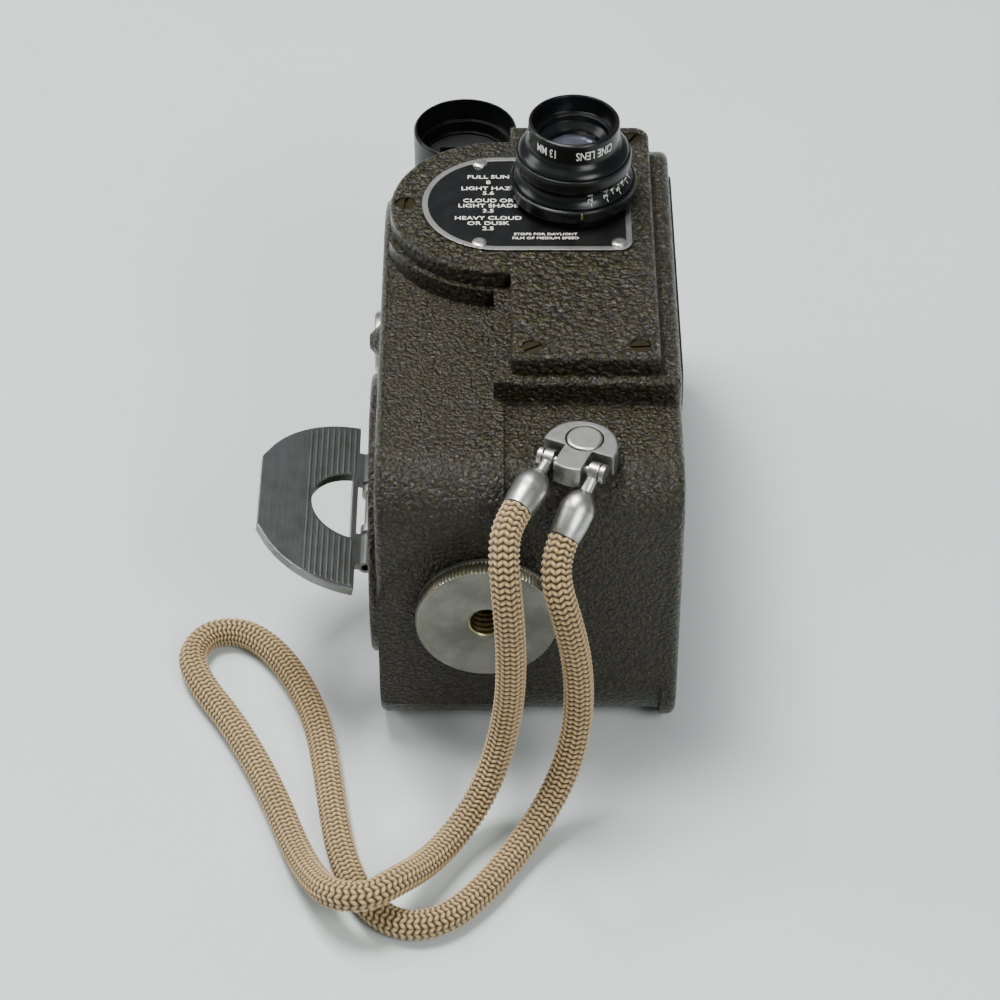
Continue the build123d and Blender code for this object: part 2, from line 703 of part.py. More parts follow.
def make_shutter_shaft():
    shaft = rod_z(SHUTTER_X, SHUTTER_Y, (47.4, 65.0), 1.2)
    points = []
    for tooth in range(9):
        for share, radius in ((-0.25, 1.25), (-0.12, 1.6), (0.12, 1.6), (0.25, 1.25)):
            angle = math.radians((tooth + share) * 40)
            points.append((radius * math.cos(angle), radius * math.sin(angle)))
    pinion = Pos(SHUTTER_X, SHUTTER_Y) * make_face(Polyline(*points, close=True))
    return shaft + plate_z(pinion, (51.2, 54.4))


def make_shutter_disc():
    disc = rod_z(SHUTTER_X, SHUTTER_Y, (64.3, 64.7), SHUTTER_R)
    centre = (SHUTTER_X, SHUTTER_Y)
    start = math.degrees(math.atan2(LENS_Y - SHUTTER_Y, LENS_X - SHUTTER_X)) - 80
    corners = [centre]
    for step in range(5):
        angle = math.radians(start + step * 40)
        corners.append((SHUTTER_X + 24 * math.cos(angle), SHUTTER_Y + 24 * math.sin(angle)))
    sector = plate_z(make_face(Polyline(*corners, close=True)), (64.0, 65.0))
    sector -= rod_z(SHUTTER_X, SHUTTER_Y, (64.0, 65.0), 8.0)
    return disc - sector - rod_z(SHUTTER_X, SHUTTER_Y, (64.3, 64.7), 1.2)


# ---- film side ----
FILM_X = (5.2, 21.2)
GATE_Z = 58.6


def make_spool(y):
    spool = rod_x((3.6, 22.9), y, SPOOL_Z, SPOOL_HUB_R)
    spool += rod_x((3.6, 4.4), y, SPOOL_Z, SPOOL_R) + rod_x((22.1, 22.9), y, SPOOL_Z, SPOOL_R)
    spool -= rod_x((5.4, 21.1), y, SPOOL_Z, SPOOL_HUB_R - 1.2) - rod_x((5.4, 21.1), y, SPOOL_Z, 6.0)
    spool -= rod_x((3.6, 22.9), y, SPOOL_Z, 4.05)
    for spoke in range(3):
        angle = math.radians(90 + spoke * 120)
        at_y = y + 10.2 * math.cos(angle)
        at_z = SPOOL_Z + 10.2 * math.sin(angle)
        spool -= rod_x((22.0, 22.9), at_y, at_z, 3.2)
        spool -= rod_x((21.0, 22.9), at_y, at_z, 3.2)
    return spool


def make_spindle(y):
    spindle = rod_x((1.5, 23.6), y, SPOOL_Z, 4.0)
    return spindle + rod_x((0.2, 1.5), y, SPOOL_Z, 1.95)


def make_film_roll():
    roll = rod_x(FILM_X, FEED_Y, SPOOL_Z, 22.6)
    return roll - rod_x(FILM_X, FEED_Y, SPOOL_Z, SPOOL_HUB_R)


def make_film_strip():
    """Film from the roll, round the gate and to the take-up hub."""
    path = Polyline(
        (FEED_Y + 2.0, SPOOL_Z + 22.9),
        (95.0, 53.5),
        (95.5, 57.0),
        (92.0, 58.35),
        (58.0, 58.35),
        (46.5, 52.0),
        (TAKEUP_Y + SPOOL_HUB_R + 0.4, SPOOL_Z),
    )
    return slab(trace(path, 0.16), FILM_X)


def make_gate_plate():
    gate = block((3.8, 22.0), (58.0, 89.0), (GATE_Z, FILM_FRONT_Z - WALL))
    return gate - block((LENS_X - 2.45, LENS_X + 2.45), (LENS_Y - 1.85, LENS_Y + 1.85), (58.0, 60.0))


def make_pressure_plate():
    plate = block((5.4, 21.0), (62.0, 86.0), (57.0, 58.1))
    return plate + rod_z(13.2, 74.0, (55.9, 57.0), 1.4)


def make_pressure_bracket():
    bracket = block((MID_WALL[1], 16.0), (71.0, 77.0), (53.9, 54.6))
    return bracket


def make_claw():
    arm = block((2.0, 3.2), (60.0, 74.0), (56.6, 58.0))
    return arm + block((3.2, 5.0), (69.4, 70.2), (57.0, 57.6))


# ---- winding key ----
def lean(shape):
    """From the key's flat drawing (X out, Y across) to its place on the pin."""
    return Pos(KEY_HINGE_X, ARBOR_Y, ARBOR_Z) * Rot(0, KEY_LEAN, 0) * shape


def make_key_hub():
    face_x = SIDE_PLATE_X - 1.0
    hub = round_edges(rod_x((face_x, SIDE_PLATE_X - 0.1), ARBOR_Y, ARBOR_Z, 6.6), 0.3, Axis.X, 0)
    for side in (-1, 1):
        at_y = ARBOR_Y + 5.4 * side
        hub += block(
            (KEY_HINGE_X, face_x + 0.1),
            (at_y - 0.9, at_y + 0.9),
            (ARBOR_Z - KEY_CURL_R, ARBOR_Z + KEY_CURL_R),
        )
        hub += rod_y(KEY_HINGE_X, (at_y - 0.9, at_y + 0.9), ARBOR_Z, KEY_CURL_R)
    hub -= rod_x((KEY_HINGE_X - 2.0, SIDE_PLATE_X), ARBOR_Y, ARBOR_Z, ARBOR_R)
    return hub - rod_y(KEY_HINGE_X, (10.0, 42.0), ARBOR_Z, KEY_PIN_R)


def make_key_pin():
    return rod_y(KEY_HINGE_X, (ARBOR_Y - 9.4, ARBOR_Y + 9.4), ARBOR_Z, KEY_PIN_R)


def make_key_plate():
    """Stamped plate with a D-shaped finger hole, rolled round the pin at each end."""
    half = KEY_HALF_WIDTH
    top = ThreePointArc((-2.2, half), (-11.0, half - 2.2), (-18.4, 13.0))
    bottom = ThreePointArc((-18.4, -13.0), (-11.0, 2.2 - half), (-2.2, -half))
    tip = Line((-18.4, 13.0), (-KEY_LENGTH, 9.4))
    edge = Line((-KEY_LENGTH, 9.4), (-KEY_LENGTH, -9.4))
    tail = Line((-KEY_LENGTH, -9.4), (-18.4, -13.0))
    close = Line((-2.2, -half), (-2.2, half))
    outline = make_face([top, tip, edge, tail, bottom, close])
    hole = make_face(
        [
            ThreePointArc((-3.2, 8.6), (-10.8, 0), (-3.2, -8.6)),
            Line((-3.2, -8.6), (-3.2, 8.6)),
        ]
    )
    plate = extrude(outline - hole, amount=KEY_THICK / 2, both=True)
    for side in (-1, 1):
        span = (side * 11.1 - 3.9, side * 11.1 + 3.9)
        curl = rod_y(0, span, 0, KEY_CURL_R) - rod_y(0, span, 0, KEY_PIN_R + 0.05)
        bridge = block((-2.4, -1.0), span, (-0.8, 0.8))
        plate += curl + bridge
    return lean(plate)


# ---- tripod bush ----
def make_bush():
    bush = chamfer(rod_y(BUSH_X, (-BUSH_PROUD, 0), BUSH_Z, BUSH_R).edges(), 0.3)
    bush += rod_y(BUSH_X, (-0.5, 5.2), BUSH_Z, 5.0)
    bush -= rod_y(BUSH_X, (-BUSH_PROUD, TRIPOD_DEPTH - BUSH_PROUD), BUSH_Z, TRIPOD_R)
    mouth = Pos(BUSH_X, -BUSH_PROUD + 0.2, BUSH_Z) * Rot(90, 0, 0) * Cone(TRIPOD_R, TRIPOD_R + 0.4, 0.4)
    return bush - mouth


# ---- wrist strap ----
def on_hub(shape):
    """From the hub's own drawing (Y away from the strap) to its place."""
    return Pos(HUB_X, HUB_Y, 0) * Rot(0, 0, HUB_TURN) * shape


def hub_point(x, y, z):
    """A point of the hub's drawing, in the camera's frame."""
    turn = math.radians(HUB_TURN)
    return (
        HUB_X + x * math.cos(turn) - y * math.sin(turn),
        HUB_Y + x * math.sin(turn) + y * math.cos(turn),
        z,
    )


def make_hub():
    hub = round_edges(rod_z(0, -HUB_OFFSET, HUB_Z, HUB_R), 0.35, Axis.Z, -1)
    for side in (-1, 1):
        low = min(side * TONGUE_HALF, side * 8.0)
        high = max(side * TONGUE_HALF, side * 8.0)
        hub -= block((low, high), (-9.0, 2.7 - PIN_BACK), (60.0, 70.0))
    hub -= rod_z(0, 0, HUB_Z, STUD_R + 0.2)
    hub -= rod_x((-8.0, 8.0), -PIN_BACK, PIN_Z, 0.8)
    return on_hub(hub)


def make_stud():
    stud = round_edges(rod_z(HUB_X, HUB_Y, (HUB_Z[0], HUB_Z[1] + 0.25), STUD_R), 0.5, Axis.Z, -1)
    return stud + rod_z(HUB_X, HUB_Y, (58.0, HUB_Z[0]), 1.6)


def make_cross_pin():
    pin = rod_x((-6.0, 6.0), -PIN_BACK, PIN_Z, 0.8)
    for side in (-1, 1):
        pin += rod_x((min(5.4 * side, 6.2 * side), max(5.4 * side, 6.2 * side)), -PIN_BACK, PIN_Z, 1.7)
    return on_hub(pin)


def make_ferrule(side, end):
    """Eye on the cross pin, neck and rounded barrel, its mouth at the cord's end."""
    start = Vector(*hub_point(side * EYE_OFFSET, -PIN_BACK, PIN_Z))
    finish = Vector(*end)
    along = (finish - start).normalized()
    length = (finish - start).length
    eye_shape = rod_x((side * EYE_OFFSET - 0.85, side * EYE_OFFSET + 0.85), -PIN_BACK, PIN_Z, 1.7)
    eye_shape -= rod_x((side * EYE_OFFSET - 0.85, side * EYE_OFFSET + 0.85), -PIN_BACK, PIN_Z, 0.85)
    neck = Polyline((1.1, 0, length - 8.8), (1.1, 0, 1.05), (0, 0, 1.05), (0, 0, length), (CORD_R + 0.05, 0, length))
    mouth = ThreePointArc((CORD_R + 0.05, 0, length), (2.98, 0, length - 2.0), (FERRULE_R, 0, length - 4.4))
    shoulder = ThreePointArc((FERRULE_R, 0, length - 4.4), (2.55, 0, length - 7.2), (1.1, 0, length - 8.8))
    barrel = revolve(make_face([neck, mouth, shoulder]), Axis.Z, 360)
    placed = Plane(origin=start, z_dir=along) * barrel
    return on_hub(eye_shape) + placed


def make_cord():
    """Tube through the route, each bend as wide as its two runs allow."""
    route = [Vector(*LEFT_END)] + [Vector(*p) for p in CORD_ROUTE] + [Vector(*RIGHT_END)]
    radii = []
    for before, at, after in zip(route, route[1:], route[2:]):
        turn = (at - before).get_angle(after - at)
        run = min((at - before).length, (after - at).length)
        radii.append(0.45 * run / math.tan(math.radians(turn / 2)))
    path = FilletPolyline(*route, radius=radii)
    section = Plane(origin=route[0], z_dir=route[1] - route[0]) * Circle(CORD_R)
    cord = sweep(section, path=path)
    print("cord radii", [round(r, 1) for r in radii])
    print("cord length", round(path.length, 1), "volume share", cord.volume / (path.length * math.pi * CORD_R ** 2))
    return cord


def main():
    os.makedirs("parts", exist_ok=True)
    save(make_housing(), "main_housing")
    save(make_front_cover(), "front_cover")
    cover_turns = (85, 30, 5, 60)
    screws = []
    for (x, y), turn in zip(COVER_SCREWS, cover_turns):
        screws.append(Pos(x, y, COVER_Z - 0.3) * make_screw(1.85, 0.9, SCREW_SHANK_R, 4.6, turn))
    save(together(screws), "front_cover_screws")
    save(make_exposure_plate(), "exposure_plate")
    save(together([Pos(x, y, PLATE_Z) * make_rivet() for x, y in RIVETS]), "exposure_plate_rivets")
    save(make_door(), "film_door")
    save(make_door_plate(), "door_side_plate")
    save(make_latch_knob(), "door_latch_knob")
    save(make_latch_tongue(), "door_latch_tongue")
    save(make_side_cover(), "motor_side_cover")
    screws = []
    for y, z in COLUMNS:
        screws.append(Pos(SIDE_PLATE_X + 0.1, y, z) * Rot(0, -90, 0) * make_screw(1.85, 0.6, 0.95, 3.6, 20 + z))
    save(together(screws), "side_cover_screws")
    save(make_start_button(), "start_button")
    save(make_speed_dial(), "speed_dial")
    save(make_footage_dial(), "footage_dial")
    save(make_finder_cup(), "finder_front_cup")
    save(make_finder_mask(), "finder_mask")
    save(make_finder_tube(), "finder_tube")
    save(make_lens(FINDER_X, FINDER_Y, 50.0, 8.15, 1.2, 1.6), "finder_front_lens")
    save(make_lens(FINDER_X, FINDER_Y, 4.0, 6.15, 1.0, 1.2), "finder_eye_lens")
    eyepiece = rod_z(FINDER_X, FINDER_Y, (1.4, 3.2), TUBE_R) - rod_z(FINDER_X, FINDER_Y, (1.4, 3.2), 3.6)
    save(eyepiece, "eyepiece_ring")
    save(make_lens_mount(), "lens_mount_ring")
    save(make_aperture_ring(), "aperture_ring")
    save(make_lens_barrel(), "lens_barrel")
    save(make_lens(LENS_X, LENS_Y, 78.6, 5.15, 1.6, 1.3), "front_lens_element")
    save(make_lens(LENS_X, LENS_Y, 68.0, 4.25, 1.0, 0.9), "rear_lens_element")
    save(make_iris(), "iris_diaphragm")
    save(make_mechanism_plate(), "mechanism_plate")
    save(make_plate_pillars(), "mechanism_pillars")
    save(make_barrel(), "mainspring_barrel")
    save(make_mainspring(), "mainspring")
    save(make_arbor(), "winding_arbor")
    save(make_ratchet(), "ratchet_wheel")
    save(make_pawl(), "ratchet_pawl")
    save(make_pawl_pin(), "ratchet_pawl_pin")
    save(make_key_hub(), "key_hub")
    save(make_key_plate(), "key_plate")
    save(make_key_pin(), "key_hinge_pin")
    save(make_first_wheel(), "first_wheel")
    save(make_second_wheel(), "second_wheel")
    save(make_shutter_shaft(), "shutter_shaft")
    save(make_shutter_disc(), "shutter_disc")
    save(make_governor(), "governor_rotor")
    save(make_governor_cup(), "governor_brake_cup")
    save(make_gate_plate(), "film_gate_plate")
    save(make_pressure_plate(), "pressure_plate")
    save(make_pressure_bracket(), "pressure_plate_bracket")
    save(make_claw(), "pull_down_claw")
    save(make_spindle(FEED_Y), "feed_spindle")
    save(make_spindle(TAKEUP_Y), "takeup_spindle")
    save(make_spool(FEED_Y), "feed_spool")
    save(make_spool(TAKEUP_Y), "takeup_spool")
    save(make_film_roll(), "film_roll")
    save(make_film_strip(), "film_strip")
    save(make_bush(), "tripod_bush")
    save(make_hub(), "strap_hub")
    save(make_stud(), "strap_stud")
    save(make_cross_pin(), "strap_cross_pin")
    save(make_ferrule(-1, LEFT_END), "left_ferrule")
    save(make_ferrule(1, RIGHT_END), "right_ferrule")
    save(make_cord(), "strap_cord")
    print("origin", ORIGIN_X, ORIGIN_Y, "first", FIRST_AT, "governor", GOVERNOR_AT)


main()
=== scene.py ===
import bpy
import bmesh
import math
from mathutils import Matrix, Vector


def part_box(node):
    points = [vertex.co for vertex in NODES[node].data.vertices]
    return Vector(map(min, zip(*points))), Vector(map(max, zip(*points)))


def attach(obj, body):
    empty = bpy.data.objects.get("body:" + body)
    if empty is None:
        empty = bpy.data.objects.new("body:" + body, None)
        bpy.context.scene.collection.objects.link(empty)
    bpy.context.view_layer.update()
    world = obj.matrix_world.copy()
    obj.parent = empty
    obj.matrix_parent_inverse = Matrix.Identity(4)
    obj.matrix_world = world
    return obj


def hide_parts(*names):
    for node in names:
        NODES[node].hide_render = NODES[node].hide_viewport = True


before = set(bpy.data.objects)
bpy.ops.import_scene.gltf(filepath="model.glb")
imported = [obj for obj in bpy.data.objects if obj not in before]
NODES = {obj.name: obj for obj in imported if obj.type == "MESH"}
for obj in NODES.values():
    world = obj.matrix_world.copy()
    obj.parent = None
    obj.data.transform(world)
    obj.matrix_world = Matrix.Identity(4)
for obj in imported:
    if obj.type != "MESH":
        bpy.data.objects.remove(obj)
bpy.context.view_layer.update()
MM = 0.001


# ---- places, from the frame ----
def low(node):
    return Vector(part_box(node)[0])


def high(node):
    return Vector(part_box(node)[1])


def centre(node):
    return (low(node) + high(node)) / 2


LENS = centre("lens_barrel")
PLATE_TOP = high("exposure_plate").z
BUSH = centre("tripod_bush")
HINGE = centre("key_hinge_pin")
# zero of the cord's route: the table, the casing's bottom wall, and 30 mm in from the door's face
ROUTE_ZERO = Vector((high("film_door").x - 30 * MM, low("film_door").y, 0.0))


# ---- material nodes ----
class Paint:
    """A procedural material under construction; lengths in its textures are millimetres."""

    def __init__(self, name, **constants):
        self.material = bpy.data.materials.new(name)
        self.material.use_nodes = True
        self.nodes = self.material.node_tree.nodes
        self.links = self.material.node_tree.links
        self.shader = self.nodes["Principled BSDF"]
        for socket, value in constants.items():
            self.shader.inputs[socket.replace("_", " ")].default_value = value
        self.mm = self.scaled((1000, 1000, 1000))

    def add(self, kind, **inputs):
        node = self.nodes.new("ShaderNode" + kind)
        for socket, value in inputs.items():
            self.feed(node.inputs[socket.replace("_", " ")], value)
        return node

    def feed(self, socket, value):
        if isinstance(value, bpy.types.NodeSocket):
            self.links.new(value, socket)
        else:
            socket.default_value = value

    def set(self, socket, value):
        self.feed(self.shader.inputs[socket], value)

    def scaled(self, scale):
        mapping = self.add("Mapping", Scale=scale)
        self.links.new(self.add("TexCoord").outputs["Object"], mapping.inputs["Vector"])
        return mapping.outputs[0]

    def noise(self, size, detail=4.0, vector=None):
        node = self.add("TexNoise", Vector=vector or self.mm, Scale=1 / size, Detail=detail)
        return node.outputs[0]

    def cells(self, size, vector, smooth):
        node = self.nodes.new("ShaderNodeTexVoronoi")
        node.feature = "SMOOTH_F1"
        self.feed(node.inputs["Vector"], vector)
        node.inputs["Scale"].default_value = 1 / size
        node.inputs["Smoothness"].default_value = smooth
        return node.outputs["Distance"]

    def warped(self, size, amount):
        noise = self.add("TexNoise", Vector=self.mm, Scale=1 / size, Detail=2.0)
        move = self.nodes.new("ShaderNodeVectorMath")
        move.operation = "MULTIPLY_ADD"
        self.links.new(noise.outputs["Color"], move.inputs[0])
        move.inputs[1].default_value = (amount, amount, amount)
        self.links.new(self.mm, move.inputs[2])
        return move.outputs[0]

    def maths(self, operation, a, b=0.0, c=0.0):
        node = self.nodes.new("ShaderNodeMath")
        node.operation = operation
        for socket, value in zip(node.inputs, (a, b, c)):
            self.feed(socket, value)
        return node.outputs[0]

    def ramp(self, value, *stops):
        node = self.nodes.new("ShaderNodeValToRGB")
        elements = node.color_ramp.elements
        while len(elements) < len(stops):
            elements.new(0.5)
        for element, (position, colour) in zip(elements, stops):
            element.position = position
            element.color = (*colour, 1)
        self.links.new(value, node.inputs[0])
        return node.outputs[0]

    def levels(self, value, low_in, high_in, low_out, high_out):
        node = self.add("MapRange", Value=value, From_Min=low_in, From_Max=high_in)
        self.feed(node.inputs["To Min"], low_out)
        self.feed(node.inputs["To Max"], high_out)
        return node.outputs[0]

    def mixed(self, share, a, b):
        node = self.nodes.new("ShaderNodeMix")
        node.data_type = "RGBA"
        self.feed(node.inputs[0], share)
        for socket, value in zip((node.inputs[6], node.inputs[7]), (a, b)):
            self.feed(socket, (*value, 1) if isinstance(value, tuple) else value)
        return node.outputs[2]

    def bump(self, height, depth, strength=1.0, edge=0.0):
        node = self.add("Bump", Height=height, Strength=strength, Distance=depth * MM)
        if edge:
            bevel = self.nodes.new("ShaderNodeBevel")
            bevel.samples = 4
            bevel.inputs["Radius"].default_value = edge * MM
            self.links.new(bevel.outputs[0], node.inputs["Normal"])
        for socket in ("Normal", "Coat Normal"):
            self.links.new(node.outputs[0], self.shader.inputs[socket])


def crackle_paint(name, pebble, depth):
    """Thick wrinkle paint: rounded pebbles with glinting tops, the colour darkened in the troughs as
    painted shade.
    """
    paint = Paint(name, Specular_IOR_Level=0.10, Coat_Weight=0.50, Coat_Roughness=0.06)
    warp = paint.warped(pebble * 1.4, pebble * 1.6)
    cells = paint.cells(pebble, warp, 0.25)
    fine = paint.noise(pebble * 0.30, 3.0, warp)
    height = paint.maths("MULTIPLY_ADD", cells, -1.0, paint.maths("MULTIPLY", fine, 0.45))
    # painted shade: the colour ramp follows the pebbles' height, dark down in the troughs and
    # lighter on the tops
    tone = paint.levels(height, -0.50, 0.15, 0.0, 1.0)
    colour = paint.ramp(
        tone,
        (0.0, (0.004, 0.0032, 0.0010)),
        (0.50, (0.0160, 0.0136, 0.0034)),
        (1.0, (0.042, 0.036, 0.0100)),
    )
    patches = paint.levels(paint.noise(9.0, 5.0), 0.35, 0.7, 0.0, 0.45)
    paint.set("Base Color", paint.mixed(patches, colour, (0.0118, 0.0094, 0.0029)))
    paint.set("Roughness", paint.levels(paint.noise(1.1, 3.0), 0.3, 0.7, 0.22, 0.42))
    paint.bump(height, depth, 1.0, 0.45)
    return paint.material


def black_enamel(name, roughness, edge=0.25):
    paint = Paint(name, Specular_IOR_Level=0.30)
    smudge = paint.noise(3.0, 6.0)
    colour = paint.ramp(smudge, (0.3, (0.003, 0.003, 0.0032)), (0.75, (0.006, 0.006, 0.006)))
    paint.set("Base Color", colour)
    paint.set("Roughness", paint.levels(smudge, 0.3, 0.7, roughness * 0.92, roughness * 1.12))
    paint.bump(paint.noise(0.25, 3.0), 0.006, 0.7, edge)
    return paint.material


def turned_metal(name, light, dark, roughness, scratch=(8.0, 0.12, 8.0), grain=0.02, edge=0.2):
    """Bare metal with machining marks, dull patches and brighter scratches."""
    metal = Paint(name, Metallic=1.0)
    streaks = metal.add("Mapping", Vector=metal.mm, Scale=scratch).outputs[0]
    marks = metal.noise(1.0, 6.0, streaks)
    stains = metal.noise(2.2, 7.0)
    base = metal.ramp(stains, (0.32, dark), (0.62, light))
    metal.set("Base Color", metal.mixed(metal.levels(marks, 0.4, 0.75, 0.0, 0.35), base, light))
    metal.set("Roughness", metal.levels(stains, 0.3, 0.7, roughness * 1.25, roughness * 0.8))
    metal.bump(marks, grain, 0.8, edge)
    return metal.material


def dull_zinc():
    """Grey plating gone matt, with speckles and rubbed places."""
    zinc = Paint("dull_zinc", Metallic=0.6)
    speckle = zinc.noise(0.35, 5.0)
    cloud = zinc.noise(5.0, 6.0)
    base = zinc.ramp(cloud, (0.35, (0.155, 0.160, 0.138)), (0.65, (0.235, 0.242, 0.212)))
    spots = zinc.levels(speckle, 0.55, 0.72, 0.0, 0.5)
    zinc.set("Base Color", zinc.mixed(spots, base, (0.095, 0.095, 0.080)))
    zinc.set("Roughness", zinc.levels(cloud, 0.3, 0.7, 0.62, 0.45))
    zinc.bump(speckle, 0.02, 0.7, 0.15)
    return zinc.material


def brass(name, tone, roughness):
    metal = Paint(name, Metallic=1.0)
    stains = metal.noise(1.5, 6.0)
    darker = tuple(0.55 * channel for channel in tone)
    metal.set("Base Color", metal.ramp(stains, (0.35, darker), (0.65, tone)))
    metal.set("Roughness", metal.levels(stains, 0.3, 0.7, roughness * 1.3, roughness * 0.8))
    metal.bump(metal.noise(0.2, 3.0), 0.006, 0.6, 0.1)
    return metal.material


def key_steel():
    """Stamped steel, grey, rubbed lighter in streaks along the plate."""
    metal = Paint("key_steel", Metallic=1.0)
    streaks = metal.add("Mapping", Vector=metal.mm, Scale=(3.5, 0.10, 3.5)).outputs[0]
    marks = metal.noise(1.0, 7.0, streaks)
    stains = metal.noise(4.0, 7.0)
    base = metal.ramp(marks, (0.30, (0.15, 0.155, 0.152)), (0.68, (0.25, 0.255, 0.25)))
    dull = metal.levels(stains, 0.45, 0.7, 0.0, 0.45)
    metal.set("Base Color", metal.mixed(dull, base, (0.115, 0.115, 0.108)))
    metal.set("Roughness", metal.levels(marks, 0.3, 0.7, 0.42, 0.28))
    metal.bump(marks, 0.02, 0.6, 0.35)
    return metal.material


def glass(name, tint):
    pane = Paint(name, Transmission_Weight=0.85, IOR=1.52, Coat_Weight=0.6, Coat_Roughness=0.02)
    haze = pane.noise(2.5, 4.0)
    paler = tuple(min(1, 1.15 * channel) for channel in tint)
    pane.set("Base Color", pane.ramp(haze, (0.3, tint), (0.8, paler)))
    pane.set("Roughness", pane.levels(haze, 0.4, 0.8, 0.01, 0.06))
    return pane.material


def woven_khaki():
    """Cotton yarn: mottled tan, fuzzy, with finer fibres running over it, and painted shade
    darkening the grooves between the yarns.
    """
    yarn = Paint("woven_khaki", Sheen_Weight=0.35, Sheen_Roughness=0.5, Specular_IOR_Level=0.25)
    fibre = yarn.noise(0.09, 3.0)
    cloud = yarn.noise(6.0, 5.0)
    groove_shade_height = yarn.add("Attribute")
    groove_shade_height.attribute_name = "yarn_height"
    lit = yarn.ramp(fibre, (0.3, (0.350, 0.230, 0.095)), (0.7, (0.680, 0.485, 0.235)))
    faded = yarn.mixed(yarn.levels(cloud, 0.4, 0.7, 0.0, 0.35), lit, (0.310, 0.215, 0.085))
    # painted shade: the colour goes near black where the yarn's height is low, down in the grooves
    # of the braid
    depth = yarn.levels(groove_shade_height.outputs["Fac"], 0.22, 0.86, 0.0, 1.0)
    yarn.set("Base Color", yarn.mixed(depth, (0.034, 0.021, 0.007), faded))
    yarn.set("Roughness", yarn.levels(fibre, 0.3, 0.7, 0.75, 0.95))
    yarn.bump(fibre, 0.05, 0.9)
    return yarn.material


def film_stock():
    film = Paint("film_stock", Coat_Weight=0.5, Coat_Roughness=0.15)
    layers = film.add("Mapping", Vector=film.mm, Scale=(0.4, 6.0, 6.0)).outputs[0]
    edges = film.noise(1.0, 4.0, layers)
    colour = film.ramp(edges, (0.35, (0.030, 0.022, 0.018)), (0.7, (0.11, 0.08, 0.06)))
    film.set("Base Color", colour)
    film.set("Roughness", film.levels(edges, 0.3, 0.7, 0.25, 0.4))
    film.bump(edges, 0.02, 0.6)
    return film.material


def printed_white():
    """Worn white printing."""
    ink = Paint("printed_white", Specular_IOR_Level=0.3)
    wear = ink.noise(0.5, 5.0)
    ink.set("Base Color", ink.ramp(wear, (0.30, (0.42, 0.41, 0.38)), (0.52, (0.78, 0.77, 0.73))))
    ink.set("Roughness", ink.levels(wear, 0.3, 0.7, 0.6, 0.45))
    return ink.material


CASTING = crackle_paint("olive_crackle_casting", 0.75, 0.40)
COVER = crackle_paint("olive_pebble_cover", 1.05, 0.58)
SATIN_BLACK = black_enamel("satin_black", 0.30)
GLOSS_BLACK = black_enamel("gloss_black", 0.24, 0.6)
MATT_BLACK = black_enamel("matt_black", 0.55)
NICKEL = turned_metal("worn_nickel", (0.62, 0.60, 0.56), (0.36, 0.34, 0.31), 0.30)
PAINTED_SCREW = turned_metal("dark_screw", (0.060, 0.050, 0.028), (0.022, 0.018, 0.009), 0.40)
ALUMINIUM = turned_metal("satin_aluminium", (0.52, 0.52, 0.48), (0.27, 0.27, 0.245), 0.34)
HUB_METAL = turned_metal(
    "worn_hub_metal", (0.30, 0.305, 0.285), (0.14, 0.145, 0.13), 0.44, (2.0, 2.0, 2.0), 0.03, 0.3
)
BRIGHT_STEEL = turned_metal("ground_steel", (0.60, 0.60, 0.59), (0.42, 0.42, 0.42), 0.24)
ZINC = dull_zinc()
BRASS = brass("machined_brass", (0.72, 0.53, 0.24), 0.28)
THREAD_BRASS = brass("thread_brass", (0.60, 0.52, 0.30), 0.35)
KNURL_METAL = brass("knurl_metal", (0.50, 0.47, 0.34), 0.36)
GOLD_INDEX = brass("gold_index", (0.75, 0.55, 0.22), 0.30)
KEY = key_steel()
LENS_GLASS = glass("coated_lens_glass", (0.30, 0.33, 0.42))
FINDER_GLASS = glass("finder_glass", (0.72, 0.76, 0.74))
KHAKI = woven_khaki()
FILM = film_stock()
WHITE = printed_white()

FINISHES = (
    (CASTING, "main_housing motor_side_cover film_door start_button"),
    (COVER, "front_cover"),
    (MATT_BLACK, "finder_mask finder_tube iris_diaphragm door_side_plate feed_spool takeup_spool"),
    (SATIN_BLACK, "finder_front_cup eyepiece_ring exposure_plate"),
    (GLOSS_BLACK, "aperture_ring lens_barrel lens_mount_ring"),
    (NICKEL, "exposure_plate_rivets side_cover_screws strap_cross_pin"),
    (NICKEL, "key_hinge_pin ratchet_pawl_pin key_hub"),
    (PAINTED_SCREW, "front_cover_screws"),
    (ALUMINIUM, "strap_stud left_ferrule right_ferrule speed_dial footage_dial door_latch_knob"),
    (HUB_METAL, "strap_hub"),
    (BRIGHT_STEEL, "mainspring winding_arbor ratchet_wheel ratchet_pawl shutter_shaft shutter_disc"),
    (BRIGHT_STEEL, "pull_down_claw door_latch_tongue feed_spindle takeup_spindle film_gate_plate"),
    (BRIGHT_STEEL, "pressure_plate pressure_plate_bracket"),
    (ZINC, "tripod_bush"),
    (BRASS, "first_wheel second_wheel mechanism_plate mechanism_pillars governor_rotor"),
    (BRASS, "governor_brake_cup mainspring_barrel"),
    (KEY, "key_plate"),
    (LENS_GLASS, "front_lens_element rear_lens_element"),
    (FINDER_GLASS, "finder_front_lens finder_eye_lens"),
    (FILM, "film_roll film_strip"),
    (KHAKI, "strap_cord"),
)


def finish_nodes():
    for material, names in FINISHES:
        for name in names.split():
            mesh = NODES[name].data
            mesh.materials.clear()
            mesh.materials.append(material)


# ---- mesh helpers ----
def piece_of(mesh, material, body):
    """The mesh as a piece with one material that rides on a body."""
    mesh.materials.append(material)
    piece = bpy.data.objects.new(mesh.name, mesh)
    bpy.context.scene.collection.objects.link(piece)
    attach(piece, body)
    return piece


def make_piece(name, vertices, faces, material, body, smooth=True):
    mesh = bpy.data.meshes.new(name)
    mesh.from_pydata(vertices, [], faces)
    mesh.validate()
    mesh.polygons.foreach_set("use_smooth", [smooth] * len(mesh.polygons))
    return piece_of(mesh, material, body)


